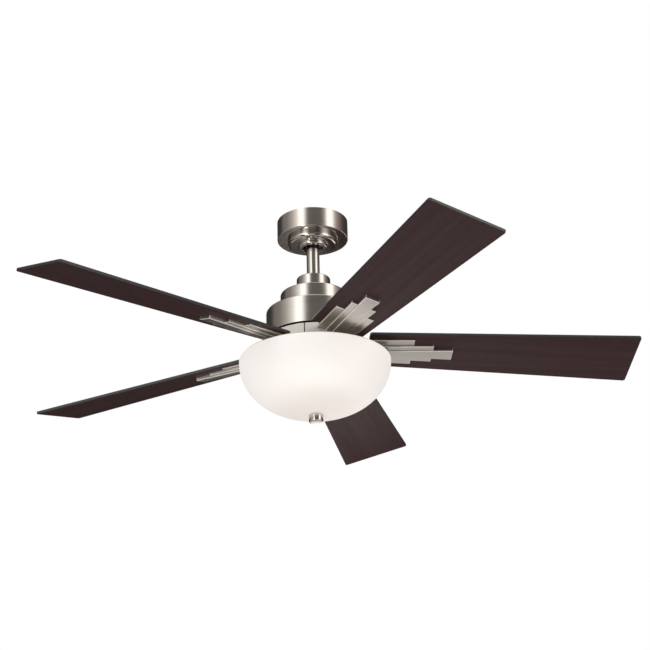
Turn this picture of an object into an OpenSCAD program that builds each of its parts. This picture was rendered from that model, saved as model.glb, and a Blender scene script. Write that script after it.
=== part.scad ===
// Five-blade ceiling fan with an opal bowl light on a short downrod.
// Millimetres. +Z is up. The origin is the centre of the ceiling plane, on the fan's axis.

/* [Overall] */
// Diameter of the circle that the blade tips sweep
sweep_d = 1320.8; // [1000:0.1:1600]
// Direction of blade 1 about the vertical axis, in degrees
blade_phase = -66.3; // [-180:0.1:180]
// Length of downrod that shows between the canopy and the coupling cover
rod_show = 69.5; // [50:0.5:900]

/* [Ceiling mount] */
// Outside diameter of the canopy
canopy_d = 146; // [136:1:180]
// Height of the canopy's straight side
canopy_h = 41; // [34:0.5:60]
// Sheet thickness of the canopy
canopy_wall = 1.2; // [0.8:0.1:2]
// Diameter of the cover's upper step
cover_d = 104; // [100:1:120]
// Height of the cover's upper step
cover_h = 12.6; // [11:0.1:20]
// Diameter of the cover's lower step
collar_d = 62.4; // [58:0.2:70]
// Height of the cover's lower step
collar_h = 6.4; // [4:0.1:12]
// Sheet thickness of the cover
cover_wall = 1; // [0.8:0.1:1.5]
// Length of the hanger bracket's top plate
plate_l = 112; // [108:1:118]
// Width of the hanger bracket's top plate
plate_w = 44; // [40:1:50]
// Thickness of the hanger bracket's steel
plate_t = 2.5; // [2:0.1:3.5]
// Distance between the two outlet box screws
box_screw_gap = 88.9; // [70:0.1:89]
// Width of each outlet box slot
box_slot_w = 5.2; // [4.8:0.1:6]
// End to end length of each outlet box slot
box_slot_l = 12; // [8:0.5:14]
// Diameter of the hanger ball
ball_d = 50; // [48:0.5:54]

/* [Downrod] */
// Outside diameter of the downrod
rod_od = 26.7; // [21:0.1:32.1]
// Wall thickness of the downrod
rod_wall = 2.9; // [2:0.1:3.5]
// Diameter of the clevis pin and of the ball's cross pin
pin_d = 6.4; // [5:0.1:8]

/* [Motor housing] */
// Diameter of the coupling cover, the smallest of the three tiers
coupling_d = 69; // [66:0.2:80]
// Height of the coupling cover
coupling_h = 36.3; // [33:0.1:50]
// Diameter of the upper housing, the middle tier
upper_d = 136; // [110:1:160]
// Height of the upper housing
upper_h = 39.8; // [34:0.1:60]
// Diameter of the motor housing, the largest tier
housing_d = 194.8; // [180:0.2:240]
// Height of the motor housing
housing_h = 57; // [47:0.5:80]
// Sheet thickness of the three tiers
housing_wall = 1.2; // [0.8:0.1:2]
// Open gap between the motor housing and the turning blade arms
rotor_gap = 5; // [3:0.5:10]
// Diameter of the hollow motor shaft
shaft_d = 17; // [15:0.5:18]
// Thickness of the stator's laminated core
core_t = 14; // [10:0.5:16]

/* [Blades] */
// Distance from the axis to the square root end of a blade
root_r = 107; // [104:0.5:120]
// Width of a blade at its root
root_w = 106.4; // [90:0.2:115]
// Width of a blade at its tip
tip_w = 151.4; // [110:0.2:180]
// Thickness of a blade
blade_t = 5.6; // [4.5:0.1:8]
// Pitch of a blade about its own length
blade_pitch = 13.5; // [8:0.1:16]
// Droop of a blade below the horizontal
blade_droop = 1.14; // [0:0.01:2]
// Radius of a blade's corners
blade_corner = 5; // [1:0.5:20]

/* [Blade arms] */
// Diameter of the ring that the five arm hubs form
ring_d = 200; // [190:1:205]
// Height of the ring that the five arm hubs form
ring_h = 27.5; // [26:0.1:36]
// Turn of each ring segment from its blade's centre line
ring_skew = 1; // [-8:0.1:8]
// Distance from the axis to the end of the outer fingers
finger_r = 198.7; // [190:0.1:210]
// How much further out each inner finger reaches
finger_step = 40.4; // [20:0.2:60]
// Depth of the outer fingers below the blade's middle plane
finger_depth = 3.9; // [3.5:0.1:6]

/* [Light] */
// Outside diameter of the glass bowl
bowl_d = 305.6; // [250:0.2:364]
// Depth of the glass bowl
bowl_depth = 114.6; // [95:0.2:140]
// Thickness of the glass
glass_t = 3.5; // [3:0.1:6]
// Roundness of the bowl's outline, where 2 is an ellipse
bowl_power = 2.15; // [2:0.01:2.6]
// Distance from the arm ring down to the bowl's rim
bowl_gap = 15.6; // [14:0.1:25]
// Diameter of the finial
finial_d = 30; // [24:0.5:40]
// Height of the finial
finial_h = 15; // [12:0.5:30]
// Diameter of the threaded centre rod that holds the bowl
centre_rod_d = 10; // [8:0.1:11]

/* [Hidden] */
$fn = 64;
eps = 0.01;
arc_steps = 4;
blade_count = 5;
run_fit = 0.05;
slack = 0.3;
screw_slack = 0.15;

// Levels, from the ceiling down
canopy_bottom = -canopy_h;
cover_mid = canopy_bottom - cover_h;
cover_bottom = cover_mid - collar_h;
coupling_top = cover_bottom - rod_show;
upper_top = coupling_top - coupling_h;
housing_top = upper_top - upper_h;
housing_bottom = housing_top - housing_h;
ring_top = housing_bottom - rotor_gap;
ring_bottom = ring_top - ring_h;
ring_to_blade = 11.5;
blade_z = ring_top - ring_to_blade;
rim_z = ring_bottom - bowl_gap;
bowl_bottom = rim_z - bowl_depth;

// Ceiling mount
ball_r = ball_d / 2;
ball_flat = 18;
ball_rise = 9;
ball_screw_drop = 9;
ball_screw_sunk = 1.6;
ball_z = canopy_bottom + ball_rise;
seat_low = ball_z - 14;
seat_high = ball_z - 4;
seat_r = ball_r + 9;
leg_x = seat_r;
leg_w = 22;
tab_r = 3;
tab_tip = ball_r - 4.8;
foot_w = 14;
foot_reach = 17;
canopy_screw_r = leg_x + 10;
canopy_screw_d = 4;
canopy_screw_head = 9;
canopy_hole_r = norm([seat_r, leg_w / 2]) + 1;
flange_in_r = canopy_hole_r + 1;
flange_gap = 0.1;
keyhole_turn = 18;
rod_hole_extra = 8.15;
wire_hole_r = 12;
ground_at = [-24, 14];
ground_d = 4.2;

// Downrod and yoke
rod_r = rod_od / 2;
rod_top = ball_z + 12;
yoke_wall = 6.65;
yoke_r = rod_r + yoke_wall;
yoke_top = coupling_top - 6.5;
yoke_socket = 32;
rod_bottom = yoke_top - yoke_socket;
clevis_z = yoke_top - 18;
set_screw_z = yoke_top - 8;
set_screw_d = 6;
yoke_flange_r = 36;
yoke_flange_t = 4;
yoke_bottom = housing_top;
housing_screw_r = 28;
housing_screw_d = 4;

// Motor
housing_r = housing_d / 2;
shaft_r = shaft_d / 2;
wire_bore_r = 5;
flywheel_t = 9;
flywheel_top = ring_top + flywheel_t;
flywheel_r = housing_r - housing_wall - 6.2;
flywheel_in_r = 45;
bell_r = housing_r - housing_wall - 14.2;
bell_wall = 6;
bell_plate = 4;
bell_boss = 6;
motor_clear = 5.2;
bell_top = housing_top - housing_wall - motor_clear - bell_boss;
bell_low = flywheel_top;
bell_split = (bell_top + bell_low) / 2;
bearing_r = 17.5;
bearing_t = 8;
race_t = 3;
ball_count = 9;
upper_bearing_z = bell_top + bell_boss - bearing_t - 1;
lower_bearing_z = bell_low - 4;
cage_t = 17;
air_gap = 1;
core_r = bell_r - bell_wall - cage_t - air_gap;
core_z = bell_split - core_t / 2;
slot_count = 12;
slot_w = 7;
slot_in_r = 30;
slot_out_r = core_r - 4;
end_turn = (bell_top - bell_plate - bell_low - bell_plate - core_t) / 2 - 3.3;

// Blade arms
ring_r = ring_d / 2;
ring_in_r = 62;
arm_plate = 4;
arm_skirt = 4;
segment_gap = 1;
cover_round = 7;
collar_round = 3.4;
arm_screw_r = 78;
arm_screw_turn = 18;
arm_screw_d = 5;
under = -blade_t / 2;
bracket_in_r = ring_r - 10;
bracket_tilt = 1.03;
finger_out = [40.3, 26, 15.3];
finger_in = [36.2, 18.9, 6.4];
finger_drop = [0, 3.4, 5.5];
finger_edge = 1;
tip_r = sqrt(pow(sweep_d / 2, 2) - pow(tip_w / 2, 2));
blade_screw_d = 4.6;
blade_screw_at = [[130, 0], [176, -15], [176, 15]];
blade_screw_deep = 3.6;
washer_r = 6.5;
washer_t = 1;

// Light
cup_r = ring_in_r - 6;
cup_h = 22;
cup_wall = 1.5;
pan_t = 1;
pan_top = ring_bottom - 4.9;
pan_lip_z = rim_z + 0.8;
pan_r = bowl_d / 2 - 2.2;
pan_flat_r = cup_r + 8;
gasket_t = 0.8;
centre_rod_r = centre_rod_d / 2;
bowl_hole_r = centre_rod_r + 2;
bowl_washer_r = 12;
bowl_washer_t = 1;
seat_washer_t = 2;
glass_low = lookup(bowl_hole_r, bowl_outline(bowl_d / 2, bowl_depth, rim_z));
finial_top = glass_low - bowl_washer_t;
glass_seat = lookup(bowl_washer_r, bowl_outline(bowl_d / 2 - glass_t, bowl_depth - glass_t, rim_z));
lamp_drop = 24;
lamp_turn = 20;
socket_r = 13;
socket_l = 26;
socket_start = 17;
bulb_r = 17.5;
bulb_l = 72;
strap_w = 22;
strap_t = 1.5;

// Shared shapes

function unit(v) = v / norm(v);

// The points of one corner c between p and q, rounded to radius r
function corner(p, c, q, r) = r <= 0 ? [[c[0], c[1]]] : let (
    at = [c[0], c[1]],
    u = unit([p[0], p[1]] - at),
    v = unit([q[0], q[1]] - at),
    half = acos(u * v) / 2,
    mid = at + unit(u + v) * r / sin(half),
    a = at + u * r / tan(half) - mid,
    b = at + v * r / tan(half) - mid,
    start = atan2(a[1], a[0]),
    turn = atan2(b[1], b[0]) - start,
    sweep = turn > 180 ? turn - 360 : turn < -180 ? turn + 360 : turn
) [for (i = [0:arc_steps]) let(a = start + sweep * i / arc_steps) mid + r * [cos(a), sin(a)]];

// An outline whose points may carry a corner radius as a third value
function rounded(pts) = [
    for (i = [0:len(pts) - 1])
        each corner(pts[(i + len(pts) - 1) % len(pts)], pts[i], pts[(i + 1) % len(pts)],
                    is_undef(pts[i][2]) ? 0 : pts[i][2])
];

module spin(pts) {
    rotate_extrude() polygon(rounded(pts));
}

// A ring from z up to z + h
module ring(r_out, r_in, z, h) {
    translate([0, 0, z]) difference() {
        cylinder(r = r_out, h = h);
        translate([0, 0, -1]) cylinder(r = r_in, h = h + 2);
    }
}

module bar(r, z, h) {
    translate([0, 0, z]) cylinder(r = r, h = h);
}

// A cylinder along Y, centred on the axis at height z
module cross_bar(r, z, l) {
    translate([0, 0, z]) rotate([90, 0, 0]) cylinder(r = r, h = l, center = true);
}

// A screw that points up from z, its head below z
module screw_up(d, head_d, head_h, l) {
    bar(d / 2, -eps, l + eps);
    bar(head_d / 2, -head_h, head_h);
}

// A cup with an open bottom: wall, top plate and a hole in the top
module tier(r, hole_r, top, bottom, wall, edge) {
    spin([
        [hole_r, top], [r, top, edge], [r, bottom, 0.5], [r - wall, bottom],
        [r - wall, top - wall, max(edge - wall, 0.3)], [hole_r, top - wall]
    ]);
}

module at_blade(k) {
    rotate([0, 0, blade_phase + 72 * (k - 1)]) translate([0, 0, blade_z])
        rotate([0, blade_droop, 0]) rotate([-blade_pitch, 0, 0]) children();
}

module each_blade() {
    for (k = [1:blade_count]) at_blade(k) children();
}

// Ceiling mount

module hanger_bracket() {
    color("silver") difference() {
        union() {
            translate([-plate_l / 2, -plate_w / 2, -plate_t]) cube([plate_l, plate_w, plate_t]);
            for (side = [0, 180]) rotate([0, 0, side]) {
                translate([leg_x - plate_t, -leg_w / 2, seat_low])
                    cube([plate_t, leg_w, -seat_low - eps]);
                translate([leg_x - plate_t, -foot_w / 2, canopy_bottom + canopy_wall])
                    cube([foot_reach + plate_t, foot_w, plate_t]);
            }
            bar(seat_r, seat_low, seat_high - seat_low);
            translate([tab_tip, 0, ball_z]) rotate([0, 90, 0])
                cylinder(r = tab_r, h = leg_x - tab_tip - eps);
        }
        translate([0, 0, ball_z]) difference() {
            sphere(r = ball_r + run_fit);
            translate([tab_tip, 0, 0]) rotate([0, 90, 0]) cylinder(r = tab_r, h = ball_r);
        }
        translate([-rod_r - slack * 3, 0, seat_low - 1])
            cube([rod_od + slack * 6, seat_r + 1, seat_high - seat_low + 2]);
        for (side = [-1, 1]) {
            translate([side * box_screw_gap / 2, 0, -plate_t - 1]) linear_extrude(plate_t + 2) {
                square([box_slot_l - box_slot_w, box_slot_w], center = true);
                for (end = [-1, 1])
                    translate([end * (box_slot_l - box_slot_w) / 2, 0]) circle(d = box_slot_w);
            }
            translate([side * canopy_screw_r, 0, canopy_bottom])
                cylinder(d = canopy_screw_d + screw_slack, h = canopy_wall + plate_t + 1);
        }
        bar(wire_hole_r, -plate_t - 1, plate_t + 2);
        translate([ground_at[0], ground_at[1], -plate_t - 1])
            cylinder(d = ground_d + screw_slack, h = plate_t + 2);
    }
}

module ground_screw() {
    color("seagreen") translate([ground_at[0], ground_at[1], -plate_t])
        screw_up(ground_d, 9, 2.6, plate_t - 0.2);
}

module canopy() {
    r = canopy_d / 2;
    in_r = r - canopy_wall;
    floor_z = canopy_bottom + canopy_wall;
    color("silver") difference() {
        spin([
            [canopy_hole_r, canopy_bottom], [r, canopy_bottom, 2], [r, 0, 0.5], [in_r, 0],
            [in_r, floor_z, 0.9], [canopy_hole_r, floor_z]
        ]);
        for (side = [-1, 1])
            translate([side * canopy_screw_r, 0, canopy_bottom - 1])
                cylinder(d = canopy_screw_d + 2 * screw_slack, h = canopy_wall + 2);
    }
}

module canopy_screws() {
    head_z = canopy_bottom - flange_gap - cover_wall - flange_gap;
    color("dimgray") for (side = [-1, 1])
        translate([side * canopy_screw_r, 0, head_z])
            screw_up(canopy_screw_d, canopy_screw_head, 2.4, canopy_bottom + canopy_wall + plate_t - head_z);
}

module canopy_cover() {
    r = cover_d / 2;
    in_r = r - cover_wall;
    top = canopy_bottom - flange_gap;
    step_r = collar_d / 2;
    hole_r = rod_r + rod_hole_extra;
    color("silver") difference() {
        spin([
            [flange_in_r, top], [r, top, 0.6], [r, cover_mid, cover_round], [step_r, cover_mid, 0.8],
            [step_r, cover_bottom, collar_round], [hole_r, cover_bottom, 0.4],
            [hole_r, cover_bottom + cover_wall],
            [step_r - cover_wall, cover_bottom + cover_wall, collar_round - cover_wall],
            [step_r - cover_wall, cover_mid + cover_wall],
            [in_r, cover_mid + cover_wall, cover_round - cover_wall],
            [in_r, top - cover_wall], [flange_in_r, top - cover_wall]
        ]);
        for (side = [0, 180]) rotate([0, 0, side]) {
            rotate([0, 0, -keyhole_turn]) {
                rotate_extrude(angle = keyhole_turn) translate([canopy_screw_r, top - cover_wall / 2])
                    square([canopy_screw_d + 4 * screw_slack, cover_wall + 1], center = true);
                translate([canopy_screw_r, 0, top - cover_wall - 0.5])
                    cylinder(d = canopy_screw_head + 4 * screw_slack, h = cover_wall + 1);
            }
            translate([canopy_screw_r, 0, top - cover_wall - 0.5])
                cylinder(d = canopy_screw_d + 4 * screw_slack, h = cover_wall + 1);
        }
    }
}

// Hanger ball and downrod

module hanger_ball() {
    color("dimgray") difference() {
        translate([0, 0, ball_z]) intersection() {
            sphere(r = ball_r);
            cube([ball_d, ball_d, 2 * ball_flat], center = true);
        }
        bar(rod_r + run_fit, ball_z - ball_r, ball_d);
        cross_bar(pin_d / 2 + run_fit, ball_z + 4, ball_d + 2);
        translate([0, -ball_r, ball_z - ball_screw_drop]) rotate([-90, 0, 0])
            cylinder(d = set_screw_d + screw_slack, h = ball_r);
        translate([tab_tip - slack, -tab_r - run_fit, ball_z - ball_r])
            cube([ball_r, 2 * (tab_r + run_fit), ball_r]);
        translate([tab_tip - slack, 0, ball_z]) rotate([0, 90, 0])
            cylinder(r = tab_r + run_fit, h = ball_r);
    }
}

module ball_cross_pin() {
    color("gainsboro") cross_bar(pin_d / 2, ball_z + 4, ball_d - 8);
}

module ball_set_screw() {
    mouth = sqrt(pow(ball_r, 2) - pow(ball_screw_drop + set_screw_d / 2, 2));
    color("dimgray") translate([0, -rod_r, ball_z - ball_screw_drop]) rotate([90, 0, 0])
        cylinder(d = set_screw_d, h = mouth - ball_screw_sunk - rod_r);
}

module downrod() {
    color("silver") difference() {
        ring(rod_r, rod_r - rod_wall, rod_bottom, rod_top - rod_bottom);
        cross_bar(pin_d / 2 + run_fit, ball_z + 4, rod_od + 2);
        cross_bar(pin_d / 2 + run_fit, clevis_z, rod_od + 2);
    }
}

module clevis_pin() {
    reach = yoke_r + 6;
    color("gainsboro") difference() {
        union() {
            translate([0, -yoke_r, clevis_z]) rotate([-90, 0, 0])
                cylinder(d = pin_d, h = yoke_r + reach);
            translate([0, -yoke_r - 2, clevis_z]) rotate([-90, 0, 0])
                cylinder(d = pin_d + 3.2, h = 2);
        }
        translate([0, yoke_r + 3, clevis_z - pin_d]) cylinder(d = 2.2, h = 2 * pin_d);
    }
}

module cotter_pin() {
    color("gainsboro") translate([0, yoke_r + 3, clevis_z]) {
        translate([0, 0, -pin_d / 2 - 4]) cylinder(d = 2, h = pin_d + 8);
        translate([0, 0, pin_d / 2 + 6]) rotate([90, 0, 0]) rotate_extrude()
            translate([3, 0]) circle(d = 1.6);
    }
}

module motor_yoke() {
    color("darkgray") difference() {
        union() {
            bar(yoke_r, yoke_bottom, yoke_top - yoke_bottom);
            bar(yoke_flange_r, yoke_bottom, yoke_flange_t);
        }
        bar(rod_r + run_fit, rod_bottom, yoke_socket + 1);
        bar(shaft_r + run_fit, yoke_bottom - 1, rod_bottom - 4 - yoke_bottom + 1);
        bar(wire_bore_r, rod_bottom - 5, 6);
        cross_bar(pin_d / 2 + run_fit, clevis_z, 2 * yoke_r + 2);
        translate([0, 0, set_screw_z]) rotate([0, 90, 0])
            cylinder(d = set_screw_d + screw_slack, h = 2 * yoke_r + 2, center = true);
        for (a = [45:90:315]) rotate([0, 0, a])
            translate([housing_screw_r, 0, yoke_bottom - 1])
                cylinder(d = housing_screw_d + screw_slack, h = yoke_flange_t + 2);
    }
}

module yoke_set_screws() {
    color("dimgray") for (side = [0, 180]) rotate([0, 0, side])
        translate([rod_r, 0, set_screw_z]) rotate([0, 90, 0]) {
            cylinder(d = set_screw_d, h = yoke_wall + 1);
            translate([0, 0, yoke_wall + 0.8]) cylinder(d = 10, h = 3.5);
        }
}

module coupling_cover() {
    color("silver") tier(coupling_d / 2, rod_r + 0.65, coupling_top, upper_top, housing_wall, 2.5);
}

module upper_housing() {
    color("silver") tier(upper_d / 2, yoke_r + 3, upper_top, housing_top, housing_wall, 2.5);
}

// Motor

module motor_housing() {
    color("silver") difference() {
        tier(housing_r, shaft_r + 1.5, housing_top, housing_bottom, housing_wall, 3);
        for (a = [45:90:315]) rotate([0, 0, a])
            translate([housing_screw_r, 0, housing_top - housing_wall - 1])
                cylinder(d = housing_screw_d + screw_slack, h = housing_wall + 2);
    }
}

module housing_screws() {
    color("dimgray") for (a = [45:90:315]) rotate([0, 0, a])
        translate([housing_screw_r, 0, housing_top - housing_wall])
            screw_up(housing_screw_d, 7.5, 2.4, housing_wall + yoke_flange_t);
}

module motor_shaft() {
    top = rod_bottom - 4;
    color("gainsboro") ring(shaft_r, wire_bore_r, pan_top + 3, top - pan_top - 3);
}

module bearing_inner(z) {
    color("gainsboro") ring(shaft_r + race_t, shaft_r + run_fit, z, bearing_t);
}

module upper_bearing_race() {
    bearing_inner(upper_bearing_z);
}

module lower_bearing_race() {
    bearing_inner(lower_bearing_z);
}

module bearing_outer(z) {
    in_r = bearing_r - race_t;
    room = in_r - shaft_r - race_t;
    color("gainsboro") {
        ring(bearing_r, in_r, z, bearing_t);
        for (i = [0:ball_count - 1]) rotate([0, 0, i * 360 / ball_count])
            translate([shaft_r + race_t + room / 2, 0, z + bearing_t / 2])
                sphere(r = room / 2 - run_fit);
    }
}

module upper_bearing() {
    bearing_outer(upper_bearing_z);
}

module lower_bearing() {
    bearing_outer(lower_bearing_z);
}

module shaft_clip() {
    color("dimgray") ring(shaft_r + 3, shaft_r + run_fit, lower_bearing_z - 1.2, 1.2);
}

module stator_core() {
    color("slategray") difference() {
        ring(core_r, shaft_r + run_fit, core_z, core_t);
        for (i = [0:slot_count - 1]) rotate([0, 0, i * 360 / slot_count]) {
            translate([slot_in_r, -slot_w / 2, core_z - 1])
                cube([slot_out_r - slot_in_r, slot_w, core_t + 2]);
            translate([slot_out_r - 1, -1, core_z - 1]) cube([core_r, 2, core_t + 2]);
        }
    }
}

module stator_winding() {
    color("peru") {
        ring(slot_out_r - 1, slot_in_r - 4, core_z + core_t, end_turn);
        ring(slot_out_r - 1, slot_in_r - 4, core_z - end_turn, end_turn);
        for (i = [0:slot_count - 1]) rotate([0, 0, i * 360 / slot_count])
            translate([slot_in_r + slack, -slot_w / 2 + slack, core_z - 1])
                cube([slot_out_r - 1 - slot_in_r - 2 * slack, slot_w - 2 * slack, core_t + 2]);
    }
}

module bell_holes(z, h) {
    for (i = [0:3]) rotate([0, 0, i * 90])
        translate([bell_r - bell_wall / 2, 0, z]) cylinder(d = 3 + screw_slack, h = h);
}

module rotor_bell_upper() {
    boss_r = bearing_r + 4;
    color("gray") difference() {
        spin([
            [bearing_r + run_fit, bell_top + bell_boss],
            [boss_r, bell_top + bell_boss, 1], [boss_r, bell_top],
            [bell_r, bell_top, 2], [bell_r, bell_split], [bell_r - bell_wall, bell_split],
            [bell_r - bell_wall, bell_top - bell_plate], [bearing_r + run_fit, bell_top - bell_plate]
        ]);
        bell_holes(bell_split - 1, 9);
    }
}

module rotor_bell_lower() {
    boss_r = bearing_r + 4;
    boss_low = lower_bearing_z - 0.5;
    color("gray") difference() {
        spin([
            [bearing_r + run_fit, boss_low], [boss_r, boss_low, 1], [boss_r, bell_low], [bell_r, bell_low],
            [bell_r, bell_split], [bell_r - bell_wall, bell_split],
            [bell_r - bell_wall, bell_low + bell_plate], [bearing_r + run_fit, bell_low + bell_plate]
        ]);
        bell_holes(bell_low - 1, bell_split - bell_low + 2);
        for (i = [0:3]) rotate([0, 0, i * 90])
            translate([bell_r - bell_wall / 2, 0, bell_low - 1]) cylinder(d = 5.8, h = 4);
    }
}

module bell_screws() {
    color("dimgray") for (i = [0:3]) rotate([0, 0, i * 90])
        translate([bell_r - bell_wall / 2, 0, bell_low + 3])
            screw_up(3, 5.5, 2.6, bell_split - bell_low - 3 + 7);
}

module rotor_cage() {
    out_r = bell_r - bell_wall;
    color("lightslategray") difference() {
        ring(out_r, out_r - cage_t, core_z - 1, core_t + 2);
        for (i = [0:23]) rotate([0, 0, i * 15])
            translate([out_r - cage_t + 4, 0, core_z - 2]) cylinder(r = 1.6, h = core_t + 4);
    }
}

module flywheel() {
    color("dimgray") difference() {
        ring(flywheel_r, flywheel_in_r, ring_top, flywheel_t);
        for (k = [1:blade_count]) arm_screw_places(k)
            bar(arm_screw_d / 2 + screw_slack / 2, ring_top - 1, flywheel_t - 1);
    }
}

// Blade arms and blades

module arm_screw_places(k) {
    for (side = [-1, 1])
        rotate([0, 0, blade_phase + 72 * (k - 1) + ring_skew + side * arm_screw_turn])
            translate([arm_screw_r, 0, 0]) children();
}

// One flat finger layer, symmetric about the blade's centre line
module finger_layer(i) {
    end_r = finger_r + i * finger_step;
    depth = finger_depth + finger_drop[i];
    wide = finger_in[i];
    translate([finger_r + 2 * finger_step, 0, 0]) rotate([0, -bracket_tilt, 0])
        translate([-finger_r - 2 * finger_step, 0, -depth]) linear_extrude(depth + 4)
            polygon(rounded([
                [bracket_in_r, -wide], [end_r, -finger_out[i], finger_edge],
                [end_r, finger_out[i], finger_edge], [bracket_in_r, wide]
            ]));
}

module blade_arm(k) {
    color("silver") difference() {
        union() {
            rotate([0, 0, blade_phase + 72 * (k - 1) + ring_skew - 36 + segment_gap / 2])
                rotate_extrude(angle = 72 - segment_gap) polygon(rounded([
                    [ring_in_r, ring_top], [ring_r, ring_top, 0.8], [ring_r, ring_bottom, 0.8],
                    [ring_r - arm_skirt, ring_bottom], [ring_r - arm_skirt, ring_top - arm_plate],
                    [ring_in_r, ring_top - arm_plate]
                ]));
            at_blade(k) intersection() {
                for (i = [0:2]) finger_layer(i);
                translate([bracket_in_r - 1, -60, under - 30]) cube([300, 120, 30]);
            }
        }
        at_blade(k) for (at = blade_screw_at) translate([at[0], at[1], under - blade_screw_deep])
            cylinder(d = blade_screw_d + screw_slack / 2, h = blade_screw_deep + 1);
        arm_screw_places(k)
            bar(arm_screw_d / 2 + screw_slack, ring_top - arm_plate - 1, arm_plate + 2);
    }
}

module arm_screws() {
    color("dimgray") for (k = [1:blade_count]) arm_screw_places(k)
        translate([0, 0, ring_top - arm_plate]) screw_up(arm_screw_d, 9, 3, arm_plate + flywheel_t - 3);
}

module blade(k) {
    color([0.24, 0.19, 0.19]) at_blade(k) difference() {
        translate([0, 0, under]) linear_extrude(blade_t) polygon(rounded([
            [root_r, -root_w / 2, blade_corner], [tip_r, -tip_w / 2, blade_corner],
            [tip_r, tip_w / 2, blade_corner], [root_r, root_w / 2, blade_corner]
        ]));
        for (at = blade_screw_at) translate([at[0], at[1], under - 1])
            cylinder(d = blade_screw_d + 2 * screw_slack, h = blade_t + 2);
    }
}

module blade_washers() {
    color("black") each_blade() for (at = blade_screw_at) translate([at[0], at[1], 0])
        ring(washer_r, blade_screw_d / 2 + screw_slack, blade_t / 2, washer_t);
}

module blade_screws() {
    shank = blade_t + washer_t + blade_screw_deep - 0.4;
    color("silver") each_blade() for (at = blade_screw_at)
        translate([at[0], at[1], blade_t / 2 + washer_t]) mirror([0, 0, 1])
            screw_up(blade_screw_d, 10, 2.6, shank);
}

// Light

module switch_cup() {
    top = pan_top + cup_h;
    color("silver") spin([
        [shaft_r + run_fit, top], [cup_r, top, 3], [cup_r, pan_top], [cup_r - 8, pan_top],
        [cup_r - 8, pan_top + cup_wall], [cup_r - cup_wall, pan_top + cup_wall],
        [cup_r - cup_wall, top - cup_wall, 1.5], [shaft_r + run_fit, top - cup_wall]
    ]);
}

module capacitor() {
    color([0.12, 0.12, 0.13]) translate([-19, 18, pan_top + 3]) cube([38, 16, cup_h - cup_wall - 3.5]);
}

module light_pan() {
    color("white") difference() {
        spin([
            [centre_rod_r + run_fit, pan_top], [pan_flat_r, pan_top, 6], [pan_r - 10, pan_lip_z + pan_t, 6],
            [pan_r, pan_lip_z + pan_t, 0.3], [pan_r, pan_lip_z, 0.3], [pan_r - 10, pan_lip_z, 6],
            [pan_flat_r, pan_top - pan_t, 6], [centre_rod_r + run_fit, pan_top - pan_t]
        ]);
        for (a = [0:120:240]) rotate([0, 0, a + 30]) translate([cup_r - 5, 0, pan_top - pan_t - 1])
            cylinder(d = 4 + screw_slack, h = pan_t + 2);
    }
}

module pan_screws() {
    color("dimgray") for (a = [0:120:240]) rotate([0, 0, a + 30])
        translate([cup_r - 5, 0, pan_top - pan_t]) screw_up(4, 7.5, 2.4, pan_t - 0.1);
}

module at_lamp(side) {
    rotate([0, 0, lamp_turn + side]) translate([0, 0, pan_top - pan_t - lamp_drop])
        rotate([0, 90, 0]) children();
}

module lamp_strap() {
    top = pan_top - pan_t;
    color("gainsboro") difference() {
        rotate([0, 0, lamp_turn]) {
            translate([-socket_start, -strap_w / 2, top - strap_t])
                cube([2 * socket_start, strap_w, strap_t]);
            for (side = [-1, 1]) translate([side * (socket_start - strap_t / 2) - strap_t / 2, -strap_w / 2,
                                            top - lamp_drop - socket_r])
                cube([strap_t, strap_w, lamp_drop + socket_r - eps]);
        }
        bar(centre_rod_r + slack, top - strap_t - 1, strap_t + 2);
    }
}

module lamp_holder(side) {
    color("white") at_lamp(side) difference() {
        bar(socket_r, socket_start, socket_l);
        bar(socket_r - 5, socket_start + 3, socket_l);
    }
}

module lamp_holder_a() {
    lamp_holder(0);
}

module lamp_holder_b() {
    lamp_holder(180);
}

// A candle-shaped lamp on a screw base
module bulb(side) {
    neck = socket_start + socket_l;
    color("ivory") at_lamp(side) rotate_extrude() polygon(concat(
        [[0, neck - 20], [5, neck - 20], [socket_r - 5 - slack, neck - 18], [socket_r - 5 - slack, neck + 2]],
        [for (i = [1:12]) [
            (socket_r - 5) + (bulb_r - socket_r + 5) * sin(i * 15) * (1 - i / 60)
                - (i > 6 ? (i - 6) * 1.2 : 0),
            neck + 2 + i * (bulb_l - 10) / 12]],
        [[0, neck + bulb_l - 6]]
    ));
}

module bulb_a() {
    bulb(0);
}

module bulb_b() {
    bulb(180);
}

module centre_rod() {
    low = finial_top - finial_h + 4;
    color("gainsboro") bar(centre_rod_r, low, pan_top + 2 - low);
}

module rod_locknut() {
    color("gainsboro") difference() {
        translate([0, 0, pan_top - pan_t - strap_t - 4]) cylinder(r = 9, h = 4, $fn = 6);
        bar(centre_rod_r + run_fit, pan_top - pan_t - strap_t - 5, 6);
    }
}

module rim_gasket() {
    color("wheat") ring(pan_r, pan_r - 6, rim_z, gasket_t);
}

// The bowl's outline as [radius, height] points, from its rim down to its lowest point
function bowl_outline(r, depth, rim) = [
    for (i = [0:24]) let (a = i * 90 / 24)
        [r * pow(cos(a), 2 / bowl_power), rim - depth * pow(sin(a), 2 / bowl_power)]
];

module glass_bowl() {
    in_r = bowl_d / 2 - glass_t;
    in_depth = bowl_depth - glass_t;
    color("white") difference() {
        rotate_extrude() polygon(concat([[0, rim_z]], bowl_outline(bowl_d / 2, bowl_depth, rim_z)));
        rotate_extrude() polygon(concat(
            [[0, rim_z + 1], [in_r, rim_z + 1]], bowl_outline(in_r, in_depth, rim_z)
        ));
        bar(bowl_hole_r, bowl_bottom - 1, glass_t + 4);
    }
}

module bowl_seat_washer() {
    color("wheat") ring(bowl_washer_r, bowl_hole_r - 1.5, glass_seat, seat_washer_t);
}

module bowl_washer() {
    color("black") ring(bowl_washer_r, bowl_hole_r - 1.5, finial_top, bowl_washer_t);
}

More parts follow.
